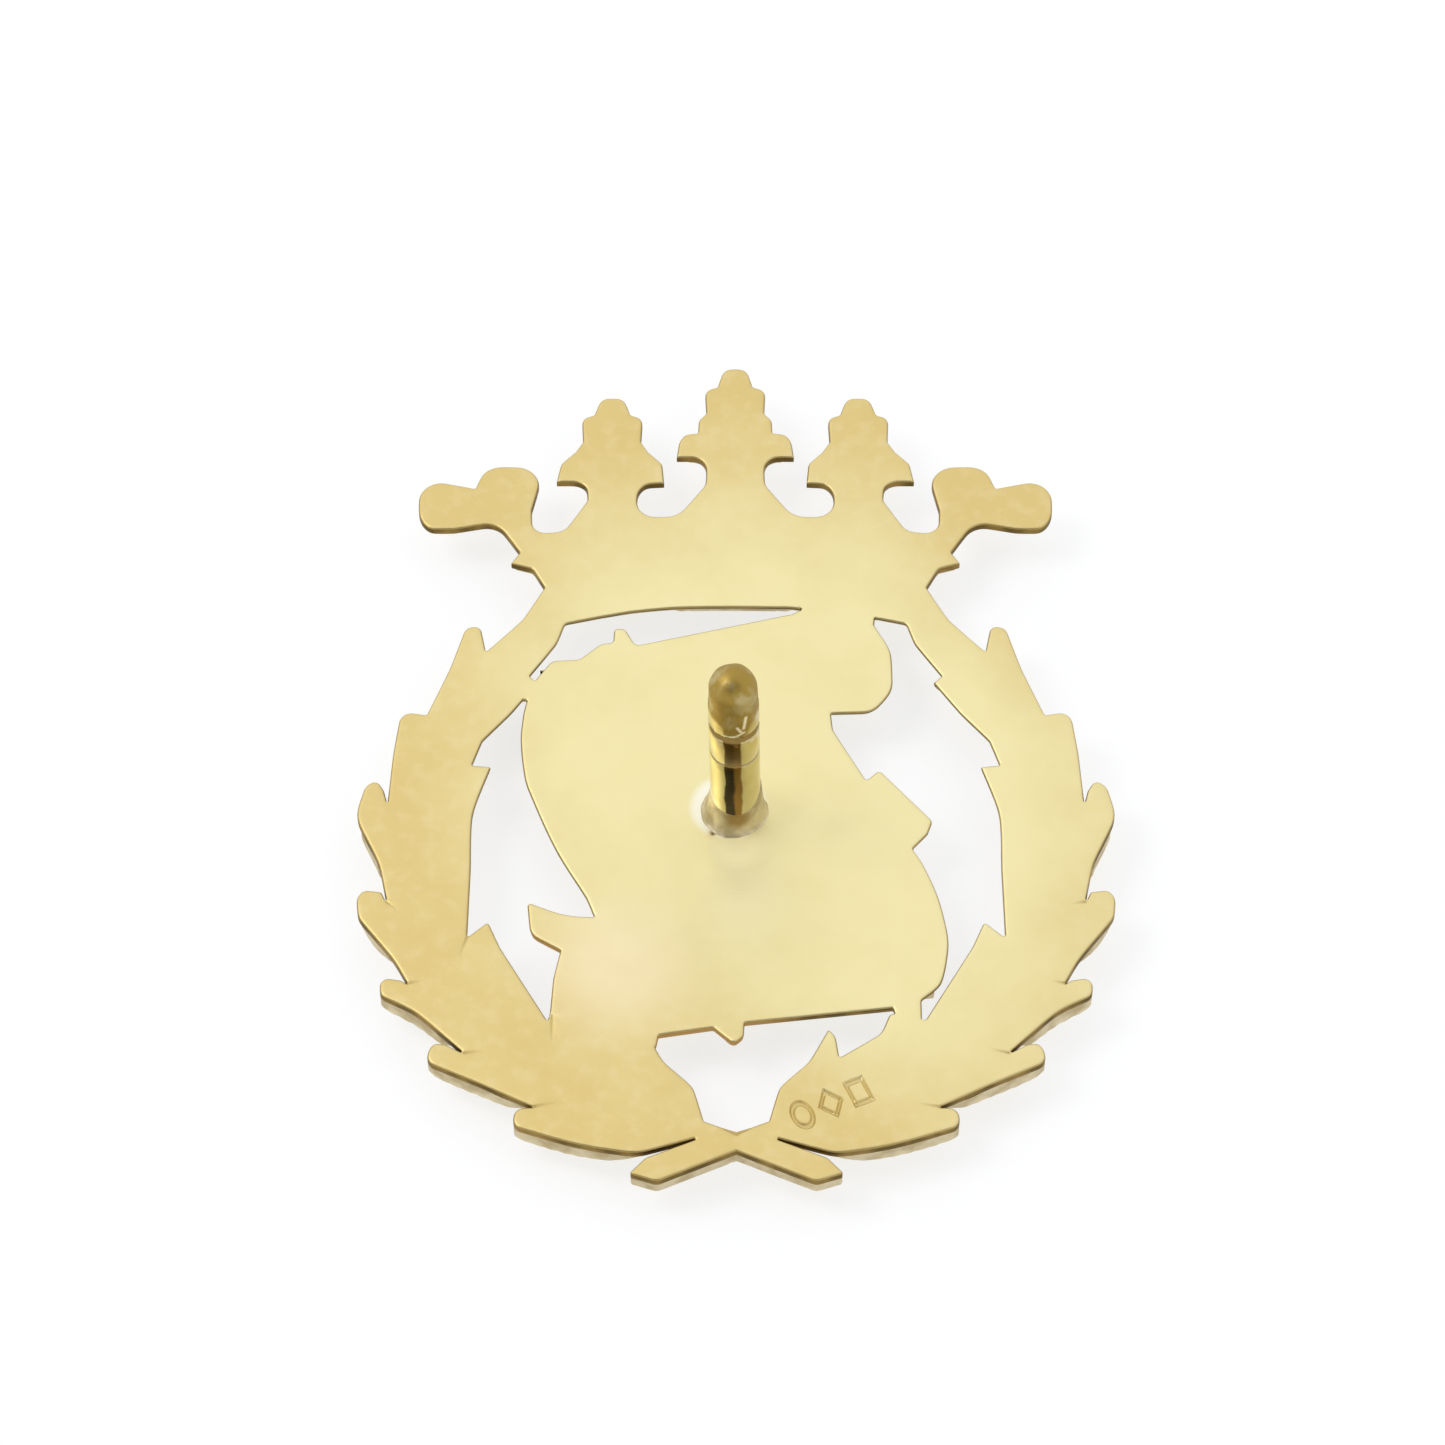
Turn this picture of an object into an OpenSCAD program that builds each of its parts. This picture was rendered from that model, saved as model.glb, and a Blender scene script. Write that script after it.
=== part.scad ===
// Small gilt badge, a crown over a laurel wreath with a scroll, lying face down.
// Origin: centre of the post's foot on the back face. +Z runs out of the back along
// the post, +Y to the top of the crown, +X to the right as seen from behind.

/* [Sheet] */
// Thickness of the pierced back plate
sheet_t = 0.18; // [0.14:0.02:0.3]
// Depth of the lowest relief below the back face
relief_depth = 1.2; // [1.15:0.05:1.4]
// Depth of the control marks punched in the back face
mark_depth = 0.05; // [0.03:0.01:0.08]

/* [Post] */
// Diameter of the post
post_d = 1.1; // [0.9:0.05:1.2]
// Height of the post's rounded tip above the back face
post_h = 5.25; // [4.6:0.05:6]
// Height of the retaining groove above the back face
groove_z = 3.5; // [3:0.05:3.8]
// Depth of the retaining groove
groove_depth = 0.09; // [0.05:0.01:0.12]

/* [Solder] */
// Diameter of the solder collar where it meets the plate
collar_d = 1.5; // [1.4:0.02:1.6]
// Height of the solder collar
collar_h = 0.45; // [0.35:0.05:0.6]

/* [Crown] */
// Width of the crown's circlet, rims included
circlet_w = 1.3; // [1.2:0.05:1.35]
// Thickness of the circlet's band
band_t = 0.26; // [0.2:0.02:0.34]
// Thickness of the circlet's two rims
rim_t = 0.4; // [0.36:0.02:0.5]
// Thickness of the florets
floret_t = 0.45; // [0.36:0.02:0.6]
// Diameter of the round stones on the circlet
stone_d = 0.56; // [0.4:0.02:0.6]

/* [Wreath] */
// Thickness of the leaves at their edge
leaf_edge_t = 0.28; // [0.16:0.02:0.34]
// Thickness of the leaves at their midrib
leaf_t = 0.45; // [0.36:0.02:0.6]
// Thickness of the two stems
stem_t = 0.4; // [0.3:0.02:0.6]
// Width of the two stems
stem_w = 0.66; // [0.5:0.02:0.7]

/* [Scroll] */
// Thickness of the flat parchment
parchment_t = 0.36; // [0.3:0.02:0.4]
// Width of the scroll's two rolls
roll_w = 1.9; // [1.7:0.05:2]
// Thickness of the ribbon
ribbon_t = 0.14; // [0.1:0.02:0.18]
// Diameter of the seal on the ribbon
seal_d = 1.9; // [1.6:0.1:2.1]
// Thickness of the seal
seal_t = 0.28; // [0.2:0.02:0.3]

/* [Hidden] */

gilt = "#e0cc8f";
dark_gilt = "#c9b060";
solder_grey = "#b9b4a4";

front_z = -sheet_t;
post_r = post_d / 2;
foot_r = post_r + 0.025;
neck_r = post_r + 0.01;
fine_ring_z = groove_z - 1;

// Circlet: a ring that sags to the middle, about a centre high above the crown
circlet_r = 11.9;
circlet_y = 5.52 + circlet_r;
rim_w = 0.32;

// ------------------------------------------------------------ outline geometry

function unit(v) = v / norm(v);
function xy(p) = [p.x, p.y];
function side_of(v) = [-v.y, v.x];
function flip(corners) =
    [for (i = [len(corners) - 1 : -1 : 0]) [-corners[i].x, corners[i].y, corners[i].z]];

// Curve that rounds corner b between its neighbours a and c. It is an arc whose radius is
// b's z, or where an edge is too short for that, a bend that takes up half of that edge.
function corner_arc(a, b, c) =
    let (
        u = unit(xy(a) - xy(b)),
        v = unit(xy(c) - xy(b)),
        half = acos(max(-1, min(1, u * v))) / 2,
        turn = 180 - 2 * half,
        reach = b.z / tan(half),
        from = xy(b) + u * min(reach, 0.49 * norm(xy(a) - xy(b))),
        to = xy(b) + v * min(reach, 0.49 * norm(xy(c) - xy(b))),
        pull = 4 / 3 * tan(turn / 4) / tan(turn / 2),
        p = from + (xy(b) - from) * pull,
        q = to + (xy(b) - to) * pull,
        steps = max(1, round(turn / 15))
    )
    [for (i = [0 : steps])
        let (t = i / steps, s = 1 - t)
        s * s * s * from + 3 * s * s * t * p + 3 * s * t * t * q + t * t * t * to];

// Closed outline through corners [x, y, radius]
function rounded(corners) =
    let (n = len(corners))
    [for (i = [0 : n - 1])
        for (p = corner_arc(corners[(i + n - 1) % n], corners[i], corners[(i + 1) % n])) p];

// Pointed oval from base to tip, as wide as it is told at its middle
function leaf_points(base, tip, width) =
    let (
        n = 10,
        along = tip - base,
        across = side_of(unit(along)) * width / 2,
        left = [for (i = [0 : n]) base + along * i / n + across * pow(sin(180 * i / n), 0.8)],
        right = [for (i = [n - 1 : -1 : 1]) base + along * i / n - across * pow(sin(180 * i / n), 0.8)]
    )
    concat(left, right);

// Strip that follows a line of points, narrowing from width at its start to end_width
function strip_points(line, width, end_width) =
    let (
        n = len(line) - 1,
        across = [for (i = [0 : n]) side_of(unit(line[min(i + 1, n)] - line[max(i - 1, 0)]))],
        half = [for (i = [0 : n]) (width + (end_width - width) * i / n) / 2]
    )
    concat(
        [for (i = [0 : n]) line[i] + across[i] * half[i]],
        [for (i = [n : -1 : 0]) line[i] - across[i] * half[i]]
    );

// Points along a smooth curve through the given points
function smooth(points, steps = 4) =
    let (n = len(points) - 1)
    concat(
        [for (i = [0 : n - 1])
            let (
                p0 = points[max(i - 1, 0)], p1 = points[i],
                p2 = points[i + 1], p3 = points[min(i + 2, n)]
            )
            for (k = [0 : steps - 1])
                let (t = k / steps)
                (2 * p1 + (p2 - p0) * t + (2 * p0 - 5 * p1 + 4 * p2 - p3) * t * t
                    + (3 * p1 - p0 - 3 * p2 + p3) * t * t * t) / 2],
        [points[n]]
    );

// ------------------------------------------------------------ outlines of the plate

// Right half of the crown's outer edge, from the top down; a corner is [x, y, radius]
crown_edge = [
    // centre floret
    [0.26, 12.30, 0.26], [0.41, 11.77, 0.06], [0.70, 11.66, 0.22], [0.67, 11.00, 0.08],
    [0.84, 10.80, 0.15], [0.86, 10.43, 0.05], [1.27, 10.37, 0.40], [1.35, 9.71, 0.02],
    // bay between the centre and side florets
    [0.66, 9.71, 0.50], [0.68, 8.95, 0.35], [1.32, 8.04, 0.55], [2.25, 8.03, 0.42],
    [2.24, 8.93, 0.42], [1.63, 8.97, 0.02],
    // side floret
    [1.68, 9.54, 0.20], [2.00, 9.88, 0.10], [2.17, 10.17, 0.06], [2.14, 10.85, 0.22],
    [2.42, 10.95, 0.10], [2.58, 11.44, 0.26], [3.10, 11.44, 0.26], [3.26, 10.95, 0.10],
    [3.54, 10.85, 0.22], [3.51, 10.17, 0.06], [3.68, 9.88, 0.10], [4.00, 9.54, 0.20],
    [4.10, 9.01, 0.02],
    // bay between the side and end florets
    [3.42, 9.01, 0.45], [3.38, 8.50, 0.20], [3.90, 7.62, 0.40], [4.62, 7.55, 0.32],
    [4.65, 8.20, 0.15],
    // end floret
    [4.38, 9.44, 0.60], [5.72, 9.46, 0.55], [5.96, 8.83, 0.05],
    [7.24, 9.12, 0.50], [7.23, 7.66, 0.60], [6.42, 7.66, 0.60], [5.44, 7.85, 0.50],
    [4.90, 7.02, 0.05],
    // end of the circlet's lower rim
    [5.11, 6.70, 0.04], [4.60, 6.55, 0.12], [4.32, 6.04, 0.03]
];

// Right half of the wreath's outer edge, from the crown down to the stem's end
wreath_edge = [
    [4.80, 5.15, 0.60], [5.60, 4.27, 0.03],
    [5.74, 4.97, 0.16], [6.07, 4.94, 0.22], [6.40, 3.80, 3.00], [6.88, 2.55, 0.06],
    [7.45, 2.65, 0.28], [7.59, 1.50, 3.00], [7.67, 0.20, 0.01],
    [7.76, 0.54, 0.08], [7.93, 0.82, 0.14], [8.18, 0.64, 0.30], [8.37, -0.15, 0.90],
    [7.80, -1.40, 1.20], [7.60, -2.38, 0.01],
    [7.72, -2.12, 0.04], [8.28, -2.04, 0.30], [8.21, -2.78, 0.50], [7.40, -3.85, 2.00],
    [7.08, -4.46, 0.01],
    [7.22, -4.37, 0.03], [7.68, -4.29, 0.22], [7.66, -4.76, 0.22], [6.90, -5.16, 1.20],
    [5.82, -6.20, 0.01],
    [6.20, -5.98, 0.05], [6.53, -5.93, 0.24], [6.63, -6.42, 0.26], [5.40, -6.99, 3.00],
    [4.32, -7.53, 0.01],
    [4.71, -7.55, 0.22], [4.74, -8.00, 0.24], [3.30, -8.47, 4.00], [2.10, -8.67, 1.00],
    [0.70, -8.24, 0.01],
    [1.92, -8.75, 0.20], [2.28, -9.14, 0.06], [1.68, -9.34, 0.25]
];

// Right half of the opening inside the crown and the wreath, from the top down
opening_edge = [
    [1.70, 5.47, 6.00], [3.00, 5.22, 3.00], [3.84, 5.02, 0.12], [4.02, 4.47, 0.60],
    [4.60, 3.60, 0.03], [4.42, 3.42, 0.02], [5.00, 2.58, 2.00], [5.62, 1.84, 0.12],
    [5.83, 1.20, 0.03], [5.41, 1.16, 0.04], [5.80, -0.10, 1.50], [5.79, -1.60, 3.00],
    [5.82, -3.28, 0.03], [5.38, -2.88, 0.06], [5.10, -3.54, 0.50], [4.06, -5.36, 0.05],
    [3.30, -5.20, 0.10], [3.10, -5.70, 0.40], [2.20, -6.30, 0.04], [2.12, -5.75, 0.30],
    [1.97, -5.60, 0.03], [1.55, -6.40, 0.60], [0.92, -7.02, 0.60], [0.69, -7.86, 0.08],
    [0.35, -8.00, 0.20]
];

// The scroll as seen from behind, clockwise from its join with the crown
scroll_edge = [
    [1.28, 5.31, 0.02], [2.20, 5.90, 0.10], [3.16, 5.50, 0.05],
    // end of the upper roll
    [3.12, 5.00, 0.05], [3.49, 4.30, 1.00], [3.51, 3.20, 0.80], [3.05, 2.61, 0.50],
    [2.12, 2.58, 0.03],
    // ribbon's square end
    [2.16, 2.15, 0.30], [2.88, 0.80, 0.05], [3.17, 1.08, 0.10], [4.32, -0.27, 0.15],
    [4.20, -0.62, 0.08], [3.87, -1.00, 0.05],
    // end of the lower roll, then its join with the wreath
    [4.28, -1.75, 3.00], [4.65, -3.40, 2.40], [4.42, -4.50, 0.60], [3.98, -4.88, 0.08],
    [3.98, -5.60, 0.05], [3.46, -5.60, 0.05],
    // straight lower edge, with the quill's point on it
    [3.36, -5.08, 0.02], [0.18, -5.45, 0.02], [0.16, -5.78, 0.12], [-0.05, -5.98, 0.12],
    [-0.50, -5.57, 0.05],
    // lower corner, which runs onto the wreath
    [-1.66, -5.76, 0.04], [-1.70, -6.00, 0.10], [-2.10, -6.60, 0.10], [-3.60, -6.20, 0.30],
    [-4.10, -5.60, 0.10], [-4.00, -5.20, 0.50], [-3.94, -4.30, 0.60], [-3.80, -3.62, 0.02],
    // ribbon's pointed end
    [-4.46, -3.22, 0.40], [-4.54, -2.38, 0.06], [-3.70, -2.72, 1.20], [-3.08, -2.76, 0.02],
    // long left edge, and its bridge to the wreath
    [-3.25, -2.30, 0.60], [-4.34, -0.30, 7.00], [-4.80, 1.40, 3.00], [-4.73, 2.60, 1.00],
    [-4.66, 2.93, 0.02], [-4.90, 3.00, 0.05], [-4.80, 3.50, 0.05], [-4.52, 3.44, 0.03],
    // top edge, with the quill's end on it
    [-4.12, 4.02, 0.25], [-3.50, 4.06, 0.30], [-3.02, 4.49, 0.30], [-2.75, 4.52, 0.10],
    [-2.73, 4.90, 0.09], [-2.49, 4.90, 0.13], [-2.24, 4.44, 0.15]
];

module outer_outline() {
    right_half = concat(crown_edge, wreath_edge);
    polygon(rounded(concat(right_half, [[0, -8.60, 0.03]], flip(right_half))));
}

module inner_opening() {
    polygon(rounded(concat(opening_edge, [[0, -8.20, 0.03]], flip(opening_edge))));
}

module scroll_outline() {
    polygon(rounded(scroll_edge));
}

module frame_outline() {
    difference() {
        outer_outline();
        inner_opening();
    }
}

module plate_outline() {
    frame_outline();
    scroll_outline();
}

// A shape of the given thickness on the front of the plate, standing in from z
module on_front(thickness, z = front_z) {
    translate([0, 0, z - thickness]) linear_extrude(thickness) children();
}

// ------------------------------------------------------------ back of the badge

// Three plain punched frames in a slanting row: an oval, a lozenge and an oblong
module control_marks() {
    oval = [for (w = [0 : 15 : 345]) [0.26 * cos(w), 0.38 * sin(w)]];
    lozenge = [[0.31, 0], [0, 0.41], [-0.31, 0], [0, -0.41]];
    oblong = [[0.24, 0.35], [-0.24, 0.35], [-0.24, -0.35], [0.24, -0.35]];
    for (mark = [[1.40, -7.72, oval], [2.00, -7.43, lozenge], [2.60, -7.15, oblong]])
        translate([mark[0], mark[1]]) rotate(24) difference() {
            polygon(mark[2]);
            polygon(mark[2] * 0.55);
        }
}

module back_plate() {
    color(gilt) difference() {
        translate([0, 0, front_z]) linear_extrude(sheet_t) plate_outline();
        translate([0, 0, -mark_depth]) linear_extrude(2 * mark_depth) control_marks();
    }
}

// Vee-shaped ring to cut from the post, of a given depth and width at its surface
module groove(z, depth, width) {
    translate([0, 0, z]) rotate_extrude($fn = 96)
        polygon([[post_r - depth, 0], [post_r + depth, -width], [post_r + depth, width]]);
}

// Round-tipped post whose foot flares a little inside the solder
module mounting_post() {
    color(dark_gilt) difference() {
        union() {
            cylinder(h = post_h - post_r, r = post_r, $fn = 96);
            translate([0, 0, post_h - post_r]) sphere(r = post_r, $fn = 96);
            cylinder(h = collar_h, r1 = foot_r, r2 = neck_r, $fn = 96);
        }
        translate([0, 0, -post_r]) cube([2 * post_d, 2 * post_d, 2 * post_r], center = true);
        groove(groove_z, groove_depth, 0.22);
        groove(fine_ring_z, groove_depth / 3, 0.08);
    }
}

// Fillet of solder around the post's foot, hollow in profile
module post_solder_collar() {
    top_r = neck_r + 0.02;
    reach = collar_d / 2 - top_r;
    color(solder_grey) rotate_extrude($fn = 96)
        polygon(concat(
            [[foot_r, 0]],
            [for (w = [0 : 15 : 90]) [top_r + reach * (1 - sin(w)), collar_h * (1 - cos(w))]],
            [[neck_r, collar_h]]
        ));
}

// ------------------------------------------------------------ crown

// Part of the circlet between two widths measured in from its lower edge
module circlet_ring(from, to, half_width) {
    intersection() {
        translate([0, circlet_y]) difference() {
            circle(r = circlet_r - from, $fn = 360);
            circle(r = circlet_r - to, $fn = 360);
        }
        translate([-half_width, 0]) square([2 * half_width, circlet_y]);
        outer_outline();
    }
}

module circlet_lower_rim() {
    color(gilt) on_front(rim_t) circlet_ring(0.06, rim_w, 4.98);
}

module circlet_band() {
    color(gilt) on_front(band_t) circlet_ring(rim_w, circlet_w - rim_w, 4.7);
}

module circlet_upper_rim() {
    color(gilt) on_front(rim_t) circlet_ring(circlet_w - rim_w, circlet_w, 4.55);
}

// Round stones and lozenges by turns along the band
module circlet_stones() {
    stone_z = front_z - band_t;
    stone_t = 0.26;
    color(dark_gilt)
    for (i = [-3 : 3])
        translate([0, circlet_y]) rotate(6.2 * i) translate([0, -circlet_r + circlet_w / 2]) {
            if (i % 2 == 0) {
                on_front(stone_t, stone_z) circle(d = stone_d, $fn = 48);
            } else {
                on_front(stone_t, stone_z) rotate(45) square(0.38, center = true);
            }
        }
}

// Lobes [x, y, radius] about a tapering stalk that starts at the circlet
module floret(lobes, stalk) {
    color(gilt) difference() {
        union() {
            on_front(floret_t) polygon(rounded(stalk));
            for (lobe = lobes)
                on_front(floret_t) translate(xy(lobe)) circle(r = lobe.z, $fn = 48);
        }
        on_front(2 * floret_t, 0) circlet_ring(0, circlet_w, 4.98);
    }
}

module centre_floret() {
    floret(
        [[0, 11.93, 0.24], [0.37, 11.34, 0.24], [-0.37, 11.34, 0.24], [0.42, 10.76, 0.28],
            [-0.42, 10.76, 0.28], [0.84, 10.02, 0.32], [-0.84, 10.02, 0.32]],
        [[0.18, 12.00, 0.1], [0.66, 9.60, 0.8], [0.52, 9.10, 0.3], [1.20, 7.90, 0.2],
            [1.20, 6.60, 0.1], [-1.20, 6.60, 0.1], [-1.20, 7.90, 0.2], [-0.52, 9.10, 0.3],
            [-0.66, 9.60, 0.8], [-0.18, 12.00, 0.1]]
    );
}

module right_floret() {
    floret(
        [[2.84, 11.08, 0.23], [2.46, 10.50, 0.23], [3.22, 10.50, 0.23], [2.62, 9.98, 0.3],
            [3.06, 9.98, 0.3], [2.16, 9.40, 0.3], [3.55, 9.40, 0.3]],
        [[3.02, 11.00, 0.1], [3.34, 9.10, 0.4], [3.24, 8.50, 0.3], [3.70, 7.75, 0.2],
            [3.80, 6.80, 0.1], [1.50, 6.60, 0.1], [1.80, 7.80, 0.2], [2.44, 8.50, 0.3],
            [2.34, 9.10, 0.4], [2.66, 11.00, 0.1]]
    );
}

module right_end_floret() {
    floret(
        [[5.12, 8.80, 0.5], [6.54, 8.35, 0.52]],
        [[4.78, 8.60, 0.1], [4.74, 7.50, 0.1], [4.56, 7.20, 0.1], [4.60, 6.90, 0.1],
            [4.74, 7.06, 0.1], [5.36, 8.06, 0.3], [6.40, 7.98, 0.1], [6.40, 8.60, 0.1]]
    );
}

module left_floret() {
    mirror([1, 0, 0]) right_floret();
}

module left_end_floret() {
    mirror([1, 0, 0]) right_end_floret();
}

// ------------------------------------------------------------ wreath

// Right stem, from its cut end past the crossing and up the wreath
stem_line = smooth([
    [-2.40, -9.29], [-0.90, -8.68], [0, -8.36], [1.40, -7.85], [3.20, -6.98], [4.90, -5.58],
    [6.05, -3.70], [6.60, -1.40], [6.66, 0.60], [6.20, 2.30], [5.45, 3.70], [4.90, 4.60]
]);

// Leaves of the right branch: [base, tip, width]
outer_leaves = [
    [[1.35, -8.20], [4.90, -7.80], 1.15], [[3.50, -7.10], [6.70, -6.20], 1.15],
    [[5.15, -5.75], [7.80, -4.45], 1.05], [[6.15, -4.10], [8.30, -2.15], 1.10],
    [[6.75, -2.20], [8.05, 0.85], 1.50], [[6.90, -0.50], [7.30, 2.75], 1.10],
    [[6.62, 1.50], [5.90, 5.05], 0.90], [[5.65, 3.55], [4.45, 5.85], 0.75]
];
inner_leaves = [
    [[0.95, -8.00], [1.97, -5.55], 0.95], [[2.45, -7.25], [3.50, -5.35], 0.95],
    [[4.20, -6.05], [5.36, -2.85], 0.95], [[5.85, -3.90], [5.95, -0.70], 0.80],
    [[6.35, -1.80], [5.40, 1.20], 0.95], [[6.38, 0.90], [4.45, 3.50], 0.95],
    [[5.75, 2.90], [4.10, 5.10], 0.80]
];

module stem_outline() {
    polygon(strip_points(stem_line, stem_w, stem_w / 2));
}

// Ground that the wreath's relief may cover, inside the plate's own edge
module wreath_ground() {
    difference() {
        frame_outline();
        scroll_outline();
        translate([0, circlet_y]) circle(r = circlet_r, $fn = 360);
    }
}

// A row of leaves: thin at the edge, with a thicker ridge along each one
module leaf_row(leaves) {
    for (tier = [[1, leaf_edge_t], [0.55, leaf_t]])
        on_front(tier[1]) difference() {
            intersection() {
                union() for (leaf = leaves) polygon(leaf_points(leaf[0], leaf[1], leaf[2] * tier[0]));
                wreath_ground();
            }
            stem_outline();
            mirror([1, 0]) stem_outline();
        }
}

module right_outer_leaves() {
    color(gilt) leaf_row(outer_leaves);
}

module right_inner_leaves() {
    color(gilt) difference() {
        leaf_row(inner_leaves);
        right_outer_leaves();
    }
}

module left_leaf_row(leaves) {
    left_leaves = [for (leaf = leaves) [[-leaf[0].x, leaf[0].y], [-leaf[1].x, leaf[1].y], leaf[2]]];
    leaf_row(left_leaves);
}

module left_outer_leaves() {
    color(gilt) left_leaf_row(outer_leaves);
}

module left_inner_leaves() {
    color(gilt) difference() {
        left_leaf_row(inner_leaves);
        left_outer_leaves();
    }
}

// The right stem lies under the left one where they cross
module right_stem() {
    color(dark_gilt) on_front(stem_t) intersection() {
        difference() {
            stem_outline();
            scroll_outline();
            mirror([1, 0]) stem_outline();
        }
        outer_outline();
    }
}

module left_stem() {
    color(dark_gilt) on_front(stem_t) intersection() {
        difference() {
            mirror([1, 0]) stem_outline();
            scroll_outline();
        }
        outer_outline();
    }
}

// ------------------------------------------------------------ scroll

// The two rolls' centre lines: start, length and slope
upper_roll_start = [-4.25, 2.92];
upper_roll_length = 7.4;
upper_roll_slope = 8;
lower_roll_start = [-3.68, -4.70];
lower_roll_length = 7.9;
lower_roll_slope = 7.6;

ribbon_line = smooth([
    [-4.34, -2.90], [-3.40, -3.02], [-2.20, -2.30], [-0.60, -1.00], [1.00, -0.45],
    [2.60, -0.20], [3.72, 0.22]
]);
seal_centre = [0.55, -0.56];

module parchment_outline() {
    intersection() {
        polygon(rounded([
            [-4.20, 2.50, 0.1], [2.00, 3.00, 0.1], [2.00, 2.20, 0.3], [2.75, 0.60, 0.3],
            [3.60, -1.40, 0.5], [3.90, -3.20, 0.5], [-3.60, -4.00, 0.1], [-2.96, -2.60, 0.3],
            [-4.20, -0.20, 5.00], [-4.60, 1.40, 2.00]
        ]));
        scroll_outline();
    }
}

module ribbon_outline() {
    intersection() {
        polygon(strip_points(ribbon_line, 0.62, 1.4));
        scroll_outline();
    }
}

// Round-topped bar lying on the front of the plate
module roll(start, length, slope, width, height) {
    section = [for (w = [0 : 10 : 180]) [width / 2 * cos(w), -height * sin(w)]];
    translate([start.x, start.y, front_z]) rotate([0, 0, slope]) rotate([90, 0, 90])
        linear_extrude(length) polygon(section);
}

module upper_roll() {
    color(gilt)
    roll(upper_roll_start, upper_roll_length, upper_roll_slope, roll_w, relief_depth - sheet_t);
}

module lower_roll() {
    color(gilt)
    roll(lower_roll_start, lower_roll_length, lower_roll_slope, roll_w, relief_depth - sheet_t);
}

module parchment() {
    color(gilt) difference() {
        on_front(parchment_t) parchment_outline();
        upper_roll();
        lower_roll();
    }
}

// The ribbon lies on the parchment, and its two ends reach down to the plate
module ribbon() {
    color(gilt) {
        on_front(ribbon_t, front_z - parchment_t) ribbon_outline();
        on_front(parchment_t + ribbon_t) difference() {
            ribbon_outline();
            parchment_outline();
        }
    }
}

module seal() {
    rim = 0.2;
    seal_z = front_z - parchment_t - ribbon_t;
    color(dark_gilt) translate(seal_centre) {
        on_front(seal_t / 2, seal_z) circle(d = seal_d, $fn = 96);
        on_front(seal_t, seal_z) difference() {
            circle(d = seal_d, $fn = 96);
            circle(d = seal_d - 2 * rim, $fn = 96);
        }
    }
}

// Feather on the parchment; its point and its end show beyond the two rolls
module quill() {
    point = [-0.06, -5.86];
    end = [-2.60, 4.78];
    color(gilt) difference() {
        union() {
            on_front(ribbon_t, front_z - parchment_t)
                polygon(leaf_points([-0.75, -3.20], [-2.10, 2.70], 1.1));
            on_front(parchment_t) intersection() {
                polygon(strip_points([point, end], 0.30, 0.36));
                scroll_outline();
            }
        }
        parchment();
        ribbon();
        upper_roll();
        lower_roll();
    }
}

back_plate();
mounting_post();
post_solder_collar();
circlet_band();
circlet_lower_rim();
circlet_upper_rim();
circlet_stones();
centre_floret();
left_floret();
right_floret();
left_end_floret();
right_end_floret();
left_stem();
right_stem();
left_outer_leaves();
right_outer_leaves();
left_inner_leaves();
right_inner_leaves();
parchment();
upper_roll();
lower_roll();
quill();
ribbon();
seal();
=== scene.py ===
"""Looks of the small gilt badge: back sheet, post, solder and front relief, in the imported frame."""

import math

import bpy
import numpy as np
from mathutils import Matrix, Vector, noise
from mathutils.geometry import delaunay_2d_cdt
from mathutils.kdtree import KDTree


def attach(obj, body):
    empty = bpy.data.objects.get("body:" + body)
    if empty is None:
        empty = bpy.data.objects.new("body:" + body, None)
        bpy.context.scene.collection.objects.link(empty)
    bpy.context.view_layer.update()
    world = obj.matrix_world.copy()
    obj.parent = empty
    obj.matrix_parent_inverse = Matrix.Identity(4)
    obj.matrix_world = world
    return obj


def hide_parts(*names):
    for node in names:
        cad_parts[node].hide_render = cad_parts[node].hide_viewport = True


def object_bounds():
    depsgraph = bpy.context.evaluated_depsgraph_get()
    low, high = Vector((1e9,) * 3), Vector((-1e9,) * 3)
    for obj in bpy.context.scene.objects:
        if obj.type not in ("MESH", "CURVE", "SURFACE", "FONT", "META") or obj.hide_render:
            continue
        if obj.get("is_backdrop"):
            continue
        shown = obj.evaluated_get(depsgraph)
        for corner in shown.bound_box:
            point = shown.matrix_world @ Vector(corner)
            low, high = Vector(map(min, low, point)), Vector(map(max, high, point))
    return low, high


MM = 0.001
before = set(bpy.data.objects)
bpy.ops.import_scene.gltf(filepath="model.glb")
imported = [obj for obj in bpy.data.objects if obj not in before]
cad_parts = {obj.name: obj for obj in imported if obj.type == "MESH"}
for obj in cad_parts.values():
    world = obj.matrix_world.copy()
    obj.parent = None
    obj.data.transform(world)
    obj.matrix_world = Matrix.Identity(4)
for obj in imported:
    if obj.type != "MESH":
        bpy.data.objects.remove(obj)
cad_low, cad_high = (list(corner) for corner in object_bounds())

# Heights and sizes in mm
BEVEL = 0.06
MARK_DEPTH = 0.05
POST_R = 0.55
POST_H = 5.25
GROOVE_Z = 3.5
RING_Z = 2.5
FRONT_Z = min(v.co.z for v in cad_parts["back_plate"].data.vertices) / MM
RELIEF_Z = cad_low[2] / MM


# ---------------------------------------------------------------- outlines

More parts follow.
